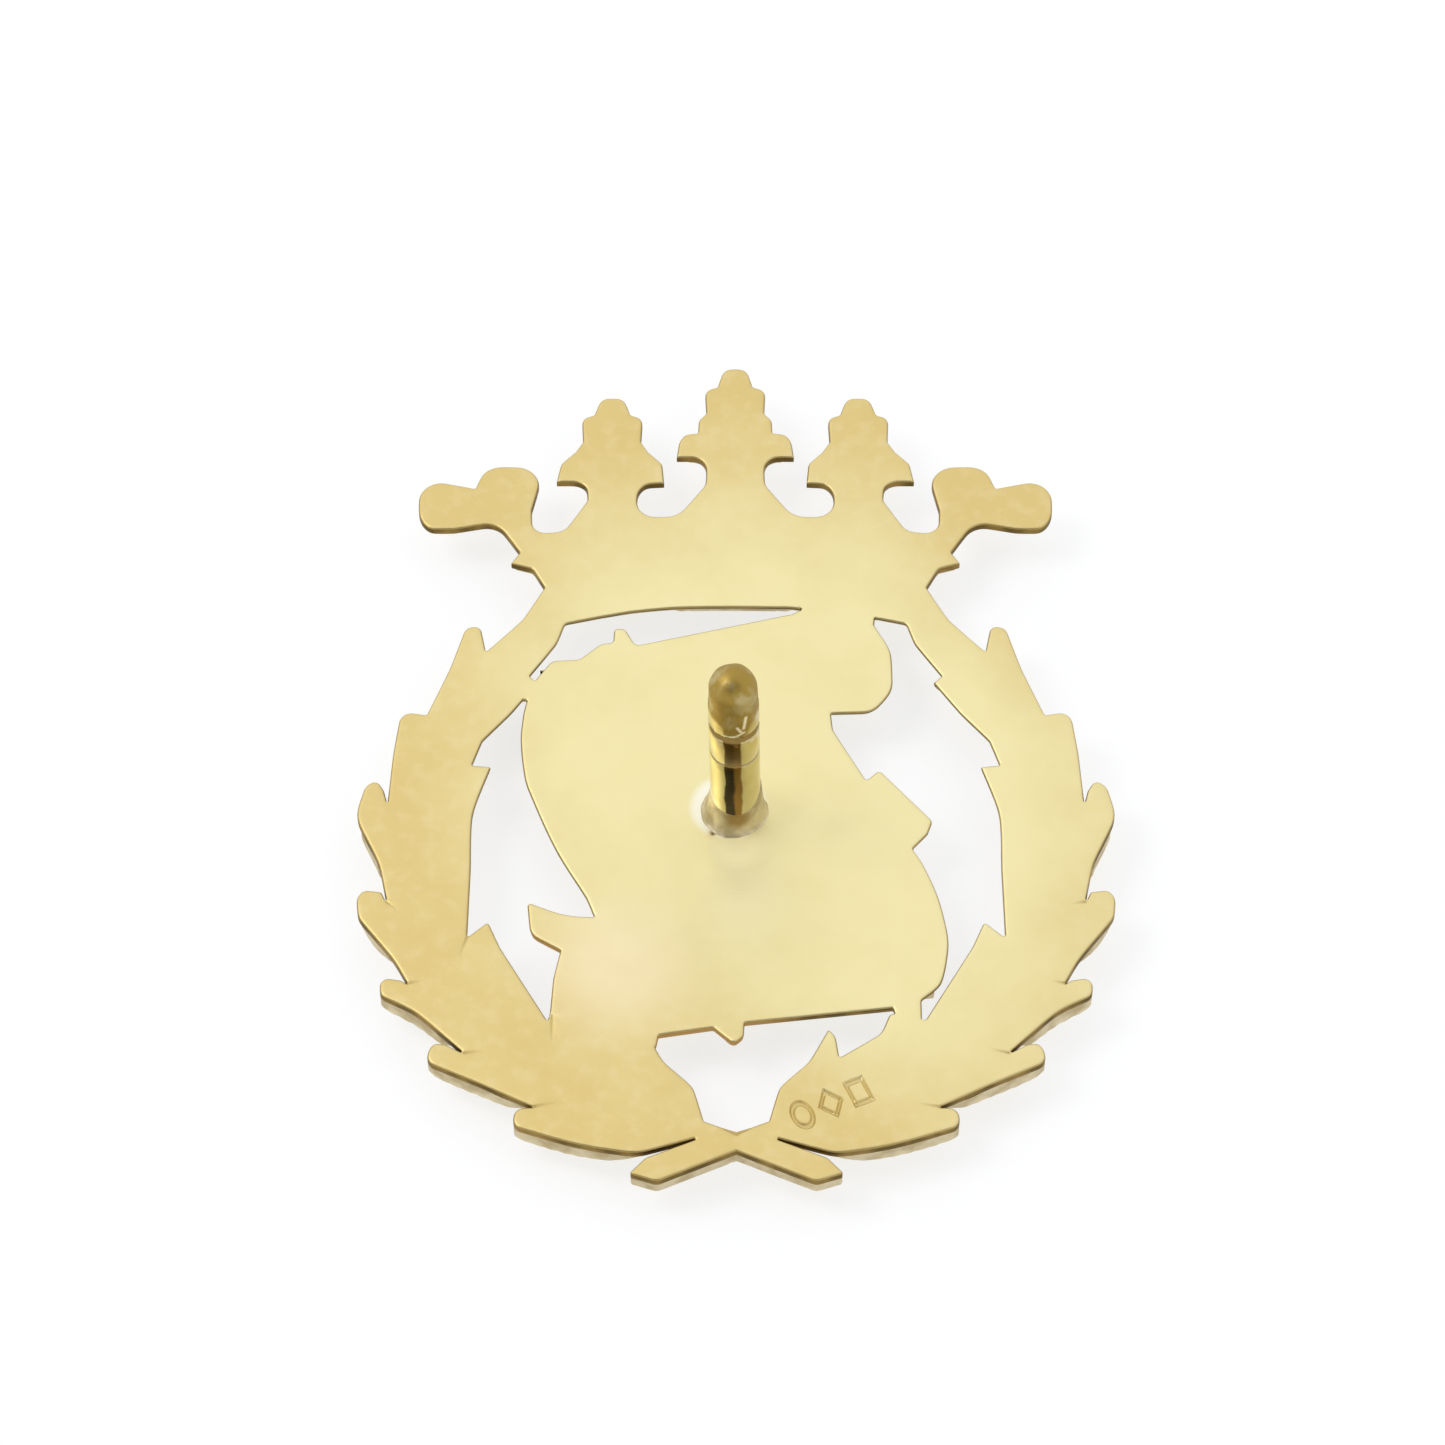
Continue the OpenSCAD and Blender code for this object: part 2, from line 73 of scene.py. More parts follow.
def wall_loops(node, z):
    """Closed outlines, in mm, that a CAD node's walls make at height z."""
    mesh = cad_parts[node].data
    keys = [tuple(round(c / MM, 3) for c in v.co) for v in mesh.vertices]
    ways = set()
    for face in mesh.polygons:
        ring = [keys[i] for i in face.vertices]
        if all(abs(k[2] - z) < 0.002 for k in ring):
            continue
        for a, b in zip(ring, ring[1:] + ring[:1]):
            if abs(a[2] - z) < 0.002 and abs(b[2] - z) < 0.002 and a[:2] != b[:2]:
                ways.add((a[:2], b[:2]))
    following = {}
    for a, b in sorted(ways):
        following.setdefault(a, []).append(b)
    loops = []
    while following:
        start = min(following)
        loop = [start]
        while True:
            ends = following[loop[-1]]
            step = ends.pop()
            if not ends:
                del following[loop[-1]]
            if step == start:
                break
            loop.append(step)
        if len(loop) > 2:
            loops.append(np.array(loop))
    return loops


def smooth_loop(points, step, corner=24):
    """The same closed outline with its curves filled in, while turns sharper than corner stay."""
    before = points - np.roll(points, 1, 0)
    after = np.roll(points, -1, 0) - points
    length = np.linalg.norm(after, axis=1)
    away = after / length[:, None]
    turn = np.arctan2(
        before[:, 0] * after[:, 1] - before[:, 1] * after[:, 0], (before * after).sum(1)
    )
    soft = np.abs(turn) < math.radians(corner)
    tangent = before + after
    tangent /= np.maximum(np.linalg.norm(tangent, axis=1), 1e-9)[:, None]
    out = []
    for i in range(len(points)):
        j = (i + 1) % len(points)
        p, q = points[i], points[j]
        t0 = (tangent[i] if soft[i] else away[i]) * length[i]
        t1 = (tangent[j] if soft[j] else away[i]) * length[i]
        for s in np.linspace(0, 1, max(1, math.ceil(length[i] / step)), endpoint=False):
            out.append(
                p * (1 + s * s * (2 * s - 3)) + t0 * s * (1 - s) ** 2
                + q * s * s * (3 - 2 * s) - t1 * s * s * (1 - s)
            )
    return np.array(out)


class Outline:
    """Closed loops, in mm, that bound a region of the badge's plane."""

    def __init__(self, loops, step=0.06, corner=24):
        self.loops = [smooth_loop(loop, step, corner) for loop in loops]
        self.start = np.concatenate(self.loops)
        self.end = np.concatenate([np.roll(loop, -1, 0) for loop in self.loops])
        self.before = np.concatenate([np.roll(loop, 1, 0) for loop in self.loops])
        self.tree = KDTree(len(self.start))
        for i, (x, y) in enumerate(self.start):
            self.tree.insert((x, y, 0), i)
        self.tree.balance()
        first = np.cumsum([0] + [len(loop) for loop in self.loops])
        self.previous = np.concatenate(
            [a + (np.arange(b - a) - 1) % (b - a) for a, b in zip(first, first[1:])]
        )

    def nearest(self, points):
        """Distance from each point to the nearest edge, the point met there, and its index."""
        near = np.array([self.tree.find((x, y, 0))[1] for x, y in points])
        met, away = [], []
        for index in (near, self.previous[near]):
            a, b = self.start[index], self.end[index]
            along = b - a
            t = ((points - a) * along).sum(1) / np.maximum((along * along).sum(1), 1e-12)
            met.append(a + along * np.clip(t, 0, 1)[:, None])
            away.append(np.linalg.norm(points - met[-1], axis=1))
        first = away[0] <= away[1]
        return np.where(first, *away), np.where(first[:, None], *met), near

    def distance(self, points):
        """Distance from each point to the nearest edge."""
        return self.nearest(points)[0]

    def inside(self, points):
        """Whether each point lies in the region, by counting the edges to one side of it."""
        hit = np.zeros(len(points), bool)
        (ax, ay), (bx, by) = self.start.T, self.end.T
        for first in range(0, len(points), 2000):
            x, y = points[first:first + 2000].T[:, :, None]
            crosses = (ay > y) != (by > y)
            rise = np.where(by == ay, 1, by - ay)
            left = x < (bx - ax) * (y - ay) / rise + ax
            hit[first:first + 2000] = (crosses & left).sum(1) % 2 == 1
        return hit

    def ring(self, inset, outside=False):
        """Points at one distance from the edge, left out where the region is too narrow."""
        way = self.end - self.before
        way /= np.maximum(np.linalg.norm(way, axis=1), 1e-9)[:, None]
        sides = [self.start + inset * turned for turned in (
            np.stack([-way[:, 1], way[:, 0]], 1), np.stack([way[:, 1], -way[:, 0]], 1))]
        points = np.concatenate(sides)
        return points[(self.distance(points) > 0.93 * inset) & (self.inside(points) != outside)]

    def grid(self, step, margin=0.5):
        """Points on a grid of equal triangles inside the region."""
        low, high = self.start.min(0), self.start.max(0)
        rows = np.arange(low[1], high[1], step * 0.866)
        columns = np.arange(low[0], high[0], step)
        x, y = np.meshgrid(columns, rows)
        x = x + (np.arange(len(rows)) % 2)[:, None] * step / 2
        points = np.stack([x.ravel(), y.ravel()], 1)
        points = points[self.inside(points)]
        return points[self.distance(points) > margin * step]


# ---------------------------------------------------------------- meshes

def slab(outline, points, top, bottom, top_place=None, bottom_place=None):
    """Closed solid over an outline. top and bottom give the heights of its two faces, and
    the optional places move their points in the plane."""
    loops, count = [], 0
    for loop in outline.loops:
        index = np.arange(count, count + len(loop))
        loops += zip(index.tolist(), np.roll(index, -1).tolist())
        count += len(loop)
    flat = [Vector(p) for p in np.concatenate([outline.start, points])]
    found = delaunay_2d_cdt(flat, loops, [], 0, 1e-6)
    xy = np.array([[v.x, v.y] for v in found[0]])
    faces = np.array([f for f in found[2] if len(f) == 3])
    faces = faces[outline.inside(xy[faces].mean(1))]
    a, b, c = xy[faces[:, 0]], xy[faces[:, 1]], xy[faces[:, 2]]
    clockwise = (b - a)[:, 0] * (c - a)[:, 1] - (b - a)[:, 1] * (c - a)[:, 0] < 0
    faces[clockwise] = faces[clockwise][:, ::-1]
    used, faces = np.unique(faces, return_inverse=True)
    xy, faces = xy[used], faces.reshape(-1, 3)
    ways = set()
    for f in faces.tolist():
        for way in zip(f, f[1:] + f[:1]):
            if way[::-1] in ways:
                ways.remove(way[::-1])
            else:
                ways.add(way)
    n = len(xy)
    upper = xy if top_place is None else top_place(xy)
    lower = xy if bottom_place is None else bottom_place(xy)
    verts = np.concatenate([np.c_[upper, top(xy)], np.c_[lower, bottom(xy)]])
    walls = [(p, p + n, q + n, q) for p, q in sorted(ways)]
    return verts, faces.tolist() + (faces[:, ::-1] + n).tolist() + walls


def lathe(profile, turns=128, radius_at=None):
    """Closed turned solid from a profile of [radius, height], both of whose ends are on the axis."""
    verts, faces, rings = [], [], []
    for r, z in profile:
        if r < 1e-6:
            rings.append([len(verts)])
            verts.append((0, 0, z))
            continue
        rings.append(list(range(len(verts), len(verts) + turns)))
        for k in range(turns):
            w = 2 * math.pi * k / turns
            grown = r if radius_at is None else radius_at(r, z, w)
            verts.append((grown * math.cos(w), grown * math.sin(w), z))
    for low, high in zip(rings, rings[1:]):
        for k in range(turns):
            m = (k + 1) % turns
            if len(low) == 1:
                faces.append((low[0], high[m], high[k]))
            elif len(high) == 1:
                faces.append((low[k], low[m], high[0]))
            else:
                faces.append((low[k], low[m], high[m], high[k]))
    return np.array(verts), faces


def piece(name, parts, material, slot, *nodes, sharp=38):
    """Object made of closed solids, in mm, that stands for CAD nodes."""
    verts, faces, count = [], [], 0
    for part_verts, part_faces in parts:
        verts.append(np.asarray(part_verts) * MM)
        faces += [[i + count for i in f] for f in part_faces]
        count += len(part_verts)
    mesh = bpy.data.meshes.new(name)
    mesh.from_pydata(np.concatenate(verts).tolist(), [], faces)
    mesh.polygons.foreach_set("use_smooth", [True] * len(faces))
    mesh.set_sharp_from_angle(angle=math.radians(sharp))
    mesh.materials.append(material)
    mesh.update()
    obj = bpy.data.objects.new(name, mesh)
    bpy.context.scene.collection.objects.link(obj)
    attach(obj, "root")
    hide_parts(*nodes)
    return obj


def wobble(points, size, seed):
    """Smooth noise from about -1 to 1 over the plane, with features of the given size in mm."""
    return np.array([noise.noise(Vector((x / size, y / size, seed))) for x, y in points])


def step_up(x, low, high):
    """Smooth rise from 0 at low to 1 at high."""
    t = np.clip((x - low) / (high - low), 0, 1)
    return t * t * (3 - 2 * t)


def round_over(distance, radius):
    """Quarter-round rise from 0 at an edge to 1 at the given distance from it."""
    t = 1 - np.clip(distance / radius, 0, 1)
    return np.sqrt(1 - t * t)


# ---------------------------------------------------------------- materials

class Nodes:
    """Short names for building a node tree."""

    def __init__(self, name):
        self.material = bpy.data.materials.new(name)
        self.material.use_nodes = True
        self.tree = self.material.node_tree
        self.bsdf = self.tree.nodes["Principled BSDF"]
        place = self.tree.nodes.new("ShaderNodeTexCoord")
        self.place = self.math_vector("MULTIPLY", place.outputs["Object"], (1 / MM,) * 3)

    def put(self, socket, value):
        if isinstance(value, bpy.types.NodeSocket):
            self.tree.links.new(value, socket)
        else:
            socket.default_value = value

    def math_vector(self, operation, a, b):
        node = self.tree.nodes.new("ShaderNodeVectorMath")
        node.operation = operation
        self.put(node.inputs[0], a)
        self.put(node.inputs[1], b)
        return node.outputs["Value" if operation in ("DISTANCE", "DOT_PRODUCT") else "Vector"]

    def math(self, operation, a, b=0.0):
        node = self.tree.nodes.new("ShaderNodeMath")
        node.operation = operation
        self.put(node.inputs[0], a)
        self.put(node.inputs[1], b)
        return node.outputs[0]

    def noise(self, scale, detail=3.0, stretch=(1, 1, 1), turn=0.0):
        spot = self.tree.nodes.new("ShaderNodeMapping")
        spot.inputs["Scale"].default_value = stretch
        spot.inputs["Rotation"].default_value = (0, 0, turn)
        self.put(spot.inputs["Vector"], self.place)
        node = self.tree.nodes.new("ShaderNodeTexNoise")
        node.inputs["Scale"].default_value = scale
        node.inputs["Detail"].default_value = detail
        self.put(node.inputs["Vector"], spot.outputs[0])
        return node.outputs[0]

    def remap(self, value, low, high, to_low=0.0, to_high=1.0):
        node = self.tree.nodes.new("ShaderNodeMapRange")
        node.interpolation_type = "SMOOTHSTEP"
        for socket, number in zip(node.inputs, (value, low, high, to_low, to_high)):
            self.put(socket, number)
        return node.outputs[0]

    def spot(self, centre, inner, outer):
        """1 within inner mm of a point, falling to 0 at outer mm."""
        away = self.math_vector("DISTANCE", self.place, centre)
        return self.remap(away, inner, outer, 1.0, 0.0)

    def mix(self, share, a, b):
        node = self.tree.nodes.new("ShaderNodeMix")
        node.data_type = "RGBA"
        self.put(node.inputs[0], share)
        for socket, value in ((node.inputs[6], a), (node.inputs[7], b)):
            self.put(socket, value if isinstance(value, bpy.types.NodeSocket) else (*value, 1))
        return node.outputs[2]

    def attribute(self, name):
        node = self.tree.nodes.new("ShaderNodeAttribute")
        node.attribute_name = name
        return node.outputs["Fac"]

    def upright(self, steep=0.35, flat=0.8):
        """1 on walls, 0 on level faces, by the upward part of the surface's normal."""
        node = self.tree.nodes.new("ShaderNodeNewGeometry")
        level = self.math_vector("DOT_PRODUCT", node.outputs["Normal"], (0, 0, 1))
        return self.remap(self.math("ABSOLUTE", level), steep, flat, 1.0, 0.0)

    def height(self):
        node = self.tree.nodes.new("ShaderNodeSeparateXYZ")
        self.put(node.inputs[0], self.place)
        return node.outputs[2]

    def bump(self, height, strength, depth):
        node = self.tree.nodes.new("ShaderNodeBump")
        node.inputs["Strength"].default_value = strength
        node.inputs["Distance"].default_value = depth * MM
        self.put(node.inputs["Height"], height)
        return node.outputs[0]

    def finish(self, colour, roughness, normal, metallic=1.0):
        self.put(self.bsdf.inputs["Base Color"], colour)
        self.put(self.bsdf.inputs["Roughness"], roughness)
        self.put(self.bsdf.inputs["Metallic"], metallic)
        self.put(self.bsdf.inputs["Normal"], normal)
        return self.material


def sheet_material():
    """Satin gilt with a painted sheen that is paler in the middle, painted light round and below the
    post's foot, browner rounded edges as painted shade, and dark sawn walls.
    """
    n = Nodes("satin_gilt_sheet")
    # Painted sheen: paler towards the middle and the lower right, with random mottling on top
    wide = n.math_vector("MULTIPLY", n.place, (1.0, 0.8, 0.0))
    middle = n.remap(n.math_vector("DISTANCE", wide, (0.3, 1.2, 0)), 3.0, 8.5, 1.0, 0.0)
    right = n.remap(n.math_vector("DISTANCE", wide, (6.5, -2.4, 0)), 3.0, 7.0, 0.55, 0.0)
    painted_sheen_and_mottle = n.math("MINIMUM", n.math("ADD", middle, right), 1.0)
    painted_sheen_and_mottle = n.math("ADD", painted_sheen_and_mottle, n.remap(n.noise(0.45, 3.0), 0.3, 0.7, -0.12, 0.12))
    colour = n.mix(painted_sheen_and_mottle, (0.70, 0.55, 0.23), (0.83, 0.75, 0.41))
    fine = n.remap(n.noise(2.6, 4.0), 0.42, 0.72)
    colour = n.mix(n.math("MULTIPLY", fine, 0.2), colour, (0.86, 0.77, 0.48))
    blush = n.math("MULTIPLY", n.spot((-2.6, -4.0, 0), 0.4, 2.4), 0.5)
    colour = n.mix(blush, colour, (0.90, 0.77, 0.54))
    # Painted light: a pale ring round the solder's foot, over the shade that the solder casts there
    painted_light_ring = n.math("MULTIPLY", n.spot((-0.17, 0.08, 0), 0.70, 0.94), 0.8)
    colour = n.mix(painted_light_ring, colour, (0.92, 0.90, 0.80))
    # Painted light: a paler patch below the post's foot, which cancels the post's dark reflection in the
    # sheet there
    painted_light_rough_spot = n.spot((0.03, -1.0, 0), 0.2, 0.95)
    painted_light_below = n.math_vector("MULTIPLY", n.place, (0.8, 0.5, 0.0))
    painted_light_below = n.remap(n.math_vector("DISTANCE", painted_light_below, (0.03, -1.05, 0)), 0.15, 1.1, 0.42, 0.0)
    light = n.math("MAXIMUM", n.math("MULTIPLY", painted_light_rough_spot, 0.85), painted_light_below)
    colour = n.mix(light, colour, (1.0, 0.94, 0.63))
    colour = n.mix(n.attribute("tarnish"), colour, (0.42, 0.30, 0.10))
    unmarked = n.math("SUBTRACT", 1.0, n.spot((2.0, -7.4, 0), 1.05, 1.15))
    # Painted shade: the rounded edges browner, standing in for the darker reflection they give
    rim = n.math("MULTIPLY", n.upright(0.75, 0.98), n.math("MULTIPLY", unmarked, 0.7))
    colour = n.mix(rim, colour, (0.42, 0.30, 0.11))
    wall = n.math("MULTIPLY", n.upright(0.3, 0.7), unmarked)
    dark = n.mix(n.remap(n.noise(1.4, 4.0), 0.35, 0.7), (0.13, 0.085, 0.02), (0.32, 0.21, 0.06))
    warm = n.math("MAXIMUM", n.spot((-4.1, -3.5, 0), 0.6, 1.1), n.spot((-0.9, -5.7, 0), 0.8, 2.6))
    dark = n.mix(warm, dark, (0.46, 0.27, 0.08))
    colour = n.mix(wall, colour, dark)
    scratches = n.math(
        "ADD",
        n.noise(3.0, 5.0, (0.35, 9, 1), 0.5),
        n.noise(3.0, 5.0, (0.35, 9, 1), -0.9),
    )
    sides = n.noise(5.0, 5.0, (1, 1, 4))
    grain = n.math("ADD", n.math("MULTIPLY", scratches, 0.4), n.math("MULTIPLY", sides, wall))
    roughness = n.remap(n.noise(1.3, 4.0), 0.3, 0.7, 0.44, 0.50)
    # The spot of painted light below the foot is also rougher
    roughness = n.math("ADD", roughness, n.math("MULTIPLY", painted_light_rough_spot, 0.25))
    return n.finish(colour, roughness, n.bump(grain, 0.25, 0.02))


# Bright scuffs just above the post's groove, as (x, z, half length, turn)
SCUFFS = [
    (-0.12, 3.66, 0.20, 0.15), (0.10, 3.74, 0.13, 0.5), (0.06, 3.90, 0.16, 2.0),
    (0.18, 4.10, 0.24, 1.45), (-0.02, 3.62, 0.12, -0.3),
]


def post_material():
    """Polished gilt with a painted dark reflection down its front, brown cuts and a dull brown tip."""
    n = Nodes("polished_gilt_post")
    stain = n.remap(n.noise(1.8, 4.0), 0.4, 0.7)
    colour = n.mix(stain, (0.70, 0.63, 0.37), (0.66, 0.56, 0.28))
    apart = n.tree.nodes.new("ShaderNodeSeparateXYZ")
    n.put(apart.inputs[0], n.place)
    x, y, z = apart.outputs
    colour = n.mix(n.remap(z, 3.4, 3.7, 0.0, 0.8), colour, (0.52, 0.42, 0.18))
    # Painted reflection: a dark band drawn along the front of the shaft, deepest on its left, for the
    # dark surroundings mirrored there
    ragged = n.math("MULTIPLY", n.noise(2.2, 5.0, (1, 1, 0.7)), 0.14)
    across = n.math("ADD", n.math("ADD", x, ragged), n.math("MULTIPLY", z, 0.015))
    painted_reflection = n.math("MULTIPLY", n.remap(across, -0.17, -0.13), n.remap(across, 0.20, 0.25, 1.0, 0.0))
    painted_reflection = n.math("MULTIPLY", painted_reflection, n.remap(y, -0.3, -0.2, 1.0, 0.0))
    deep = n.math("MULTIPLY", n.remap(across, 0.03, 0.1, 1.0, 0.0), n.remap(z, 2.3, 2.6, 1.0, 0.35))
    lower = n.remap(z, 2.3, 2.7, 1.0, 0.0)
    warm = n.mix(lower, (0.16, 0.085, 0.012), (0.28, 0.15, 0.025))
    shade = n.mix(deep, warm, (0.022, 0.011, 0.002))
    colour = n.mix(n.math("MULTIPLY", painted_reflection, 0.95), colour, shade)
    # Brown tip, whose edge dips towards the groove at the front
    central = n.remap(n.math("ABSOLUTE", x), 0.0, 0.5, 1.0, 0.0)
    dip = n.math("MULTIPLY", central, n.remap(y, -0.4, -0.1, 0.6, 0.0))
    edge = n.math("ADD", n.math("ADD", z, dip), n.math("MULTIPLY", n.noise(1.6, 3.0), 0.6))
    tip = n.remap(edge, 4.25, 4.5)
    worn = n.remap(n.noise(2.0, 4.0, (1, 1, 0.6), 0.6), 0.50, 0.66)
    colour = n.mix(tip, colour, n.mix(worn, (0.38, 0.26, 0.06), (0.50, 0.41, 0.19)))
    groove = n.math("ABSOLUTE", n.math("SUBTRACT", z, GROOVE_Z - 0.01))
    ring = n.math("ABSOLUTE", n.math("SUBTRACT", z, RING_Z))
    cut = n.math("MAXIMUM", n.remap(groove, 0.07, 0.12, 1.0, 0.0), n.remap(ring, 0.02, 0.05, 0.8, 0.0))
    colour = n.mix(cut, colour, (0.26, 0.17, 0.05))
    scuffs = 0.0
    for at_x, at_z, half, turn in SCUFFS:
        c, s = math.cos(turn), math.sin(turn)
        beside = n.math_vector("SUBTRACT", n.place, (at_x, 0, at_z))
        along = n.math("ABSOLUTE", n.math_vector("DOT_PRODUCT", beside, (c, 0, s)))
        aside = n.math("ABSOLUTE", n.math_vector("DOT_PRODUCT", beside, (-s, 0, c)))
        within = n.remap(along, half - 0.06, half, 1.0, 0.0)
        stroke = n.math("MULTIPLY", within, n.remap(aside, 0.015, 0.05, 1.0, 0.0))
        scuffs = n.math("MAXIMUM", scuffs, stroke)
    scuffs = n.math("MULTIPLY", scuffs, n.remap(y, -0.35, -0.25, 1.0, 0.0))
    colour = n.mix(scuffs, colour, (0.92, 0.86, 0.68))
    rings = n.noise(1.0, 4.0, (1, 1, 16))
    pits = n.noise(2.6, 4.0)
    roughness = n.math("ADD", 0.08, n.math("MULTIPLY", tip, 0.40))
    grain = n.math("ADD", n.math("MULTIPLY", rings, 0.35), n.math("MULTIPLY", pits, tip))
    return n.finish(colour, roughness, n.bump(grain, 0.3, 0.03))


def solder_material():
    """Dull beige solder, browner where it meets the front of the post."""
    n = Nodes("dull_solder")
    patches = n.remap(n.noise(1.8, 4.0), 0.35, 0.65)
    colour = n.mix(patches, (0.50, 0.42, 0.25), (0.74, 0.66, 0.47))
    gilt = n.spot((0.05, -0.62, 0.50), 0.12, 0.42)
    colour = n.mix(n.math("MULTIPLY", gilt, 0.85), colour, (0.34, 0.21, 0.05))
    grain = n.noise(5.0, 4.0)
    return n.finish(colour, n.remap(patches, 0, 1, 0.58, 0.48), n.bump(grain, 0.5, 0.04))


def relief_material(name, low_z, high_z):
    """Satin gilt, darker in its hollows near high_z as painted shade, and brighter on the worn parts near
    low_z.
    """
    n = Nodes(name)
    raised = n.remap(n.height(), high_z, low_z)
    patches = n.remap(n.noise(1.2, 4.0), 0.35, 0.7)
    bright = n.mix(patches, (0.86, 0.72, 0.37), (0.90, 0.78, 0.46))
    # Painted shade: the hollows darker by their height, with the raised parts brighter
    colour = n.mix(raised, (0.52, 0.38, 0.14), bright)
    wall = n.upright()
    cast = n.mix(n.remap(n.noise(2.2, 4.0), 0.35, 0.65), (0.50, 0.41, 0.24), (0.70, 0.62, 0.43))
    colour = n.mix(n.math("MULTIPLY", wall, 0.85), colour, cast)
    roughness = n.math("ADD", n.remap(raised, 0, 1, 0.42, 0.26), n.math("MULTIPLY", wall, 0.14))
    grain = n.noise(9.0, 6.0)
    return n.finish(colour, roughness, n.bump(grain, 0.4, 0.04))


gilt_sheet = sheet_material()
gilt_post = post_material()
solder = solder_material()
gilt_leaf = relief_material("satin_gilt_leaf", FRONT_Z - 0.42, FRONT_Z - 0.14)
gilt_crown = relief_material("satin_gilt_crown", FRONT_Z - 0.40, FRONT_Z - 0.06)
gilt_scroll = relief_material("satin_gilt_scroll", FRONT_Z - 0.75, FRONT_Z - 0.25)


# ---------------------------------------------------------------- back sheet

def loop_area(loop):
    """Area inside a closed outline."""
    x, y = loop.T
    return abs((x * np.roll(y, -1) - y * np.roll(x, -1)).sum()) / 2


plate_loops = sorted(wall_loops("back_plate", FRONT_Z), key=loop_area)
plate = Outline(plate_loops, 0.06)
openings = Outline(plate_loops[:-1], 0.06)
marks = Outline(wall_loops("back_plate", -MARK_DEPTH), 0.04, 40)

# Short cuts that run on from the notches between leaves, as [from, to] in mm
CUTS = [
    [(-5.82, -3.28), (-5.95, -3.70)], [(-7.60, -2.38), (-7.40, -2.55)],
    [(-7.08, -4.46), (-6.80, -4.40)], [(-5.82, -6.20), (-5.45, -6.15)],
    [(-4.32, -7.53), (-3.85, -7.42)], [(7.60, -2.38), (7.38, -2.42)],
    [(7.08, -4.46), (6.85, -4.40)], [(5.82, -6.20), (5.50, -6.12)],
    [(4.32, -7.53), (3.95, -7.45)], [(-3.95, -5.25), (-3.95, -5.90)],
]


def to_segment(points, a, b):
    """Distance from each point to a line from a to b, and how far along it the point lies."""
    a, b = np.array(a), np.array(b)
    t = np.clip((points - a) @ (b - a) / ((b - a) @ (b - a)), 0, 1)
    return np.linalg.norm(points - a - t[:, None] * (b - a), axis=1), t


# Small pit beside the solder, in mm
PIT = np.array([-0.50, -0.60])


def cut_share(points):
    """How deep in one of the short cuts each point is, from 0 to 1."""
    share = np.zeros(len(points))
    for a, b in CUTS:
        away, t = to_segment(points, a, b)
        share = np.maximum(share, np.clip(1 - away / 0.05, 0, 1) * (1 - 0.8 * t))
    return share


def back_face(points):
    """Height of the back: rounded at its edge, faintly wavy, and lower in marks, cuts and pit."""
    edge = plate.distance(points)
    z = BEVEL * (round_over(edge, BEVEL) - 1)
    z += 0.012 * wobble(points, 2.6, 3.0) * step_up(edge, 0.0, 0.5)
    z += 0.0035 * wobble(points, 0.8, 8.0) * step_up(edge, 0.0, 0.3)
    stamped = np.where(marks.inside(points), marks.distance(points), 0)
    z -= MARK_DEPTH * step_up(stamped, 0.0, 0.04)
    z -= 0.02 * cut_share(points)
    pit = np.linalg.norm(points - PIT, axis=1)
    return z - 0.04 * np.exp(-((pit / 0.05) ** 2))


def front_ground(points):
    return np.full(len(points), FRONT_Z)


def tucked(points):
    """The points moved back a little from the openings' edges, which are sawn with a slight undercut."""
    away, met, index = openings.nearest(points)
    way = openings.end[index] - openings.before[index]
    way /= np.maximum(np.linalg.norm(way, axis=1), 1e-9)[:, None]
    square = np.stack([-way[:, 1], way[:, 0]], 1)
    square[openings.inside(points + 0.01 * square)] *= -1
    radial = (points - met) / np.maximum(away, 1e-9)[:, None]
    radial[openings.inside(points)] *= -1
    back = np.where((away > 0.004)[:, None], radial, square)
    ribbon_end = (met[:, 0] > -4.7) & (met[:, 0] < -3.7) & (met[:, 1] < -3.0) & (met[:, 1] > -3.8)
    draft = np.where((met[:, 1] < -5) | ribbon_end, 0.02, 0.07)
    shift = draft * (1 - np.clip(away / 0.28, 0, 1))
    room = (openings.distance(points + back * shift[:, None]) - away) / np.maximum(shift, 1e-9)
    return points + back * (shift * np.clip(room, 0, 1))[:, None]


def near_cuts():
    """Points along the short cuts and beside them."""
    out = []
    for a, b in CUTS:
        a, b = np.array(a), np.array(b)
        way = (b - a) / np.linalg.norm(b - a)
        for t in np.linspace(0, 1, 12):
            for side in (-0.05, -0.025, 0, 0.025, 0.05):
                out.append(a + (b - a) * t + side * np.array([-way[1], way[0]]))
    out = np.array(out)
    return out[plate.inside(out) & (plate.distance(out) > 0.02)]


def plate_points():
    """Points inside the sheet: closer together at its edge, its cuts, the marks and the foot."""
    around = np.array([
        [0.14 * k * math.cos(w), 0.14 * k * math.sin(w)]
        for k in range(4, 10) for w in np.linspace(0, 2 * math.pi, 40, endpoint=False)
    ])
    pit = np.array([
        [PIT[0] + r * math.cos(w), PIT[1] + r * math.sin(w)]
        for r in (0.001, 0.03, 0.06, 0.1) for w in np.linspace(0, 2 * math.pi, 12, endpoint=False)
    ])
    return np.concatenate([
        plate.ring(0.014), plate.ring(0.034), plate.ring(BEVEL), plate.ring(0.12),
        plate.grid(0.24), marks.start, marks.ring(0.02), marks.ring(0.042), marks.ring(0.02, True),
        near_cuts(), around, pit,
    ])


sheet = piece(
    "back_sheet", [slab(plate, plate_points(), back_face, front_ground, None, tucked)],
    gilt_sheet, "gilt_sheet", "back_plate",
)
spots = np.array([[v.co.x / MM, v.co.y / MM] for v in sheet.data.vertices])
tarnish = sheet.data.attributes.new("tarnish", "FLOAT", "POINT")
pit_away = np.linalg.norm(spots - PIT, axis=1)
stamped = marks.inside(spots) * step_up(marks.distance(spots), 0.0, 0.05)
tarnish.data.foreach_set(
    "value", np.max([0.75 * cut_share(spots), 0.3 * stamped, np.exp(-((pit_away / 0.06) ** 2))], 0)
)


# ---------------------------------------------------------------- post and solder

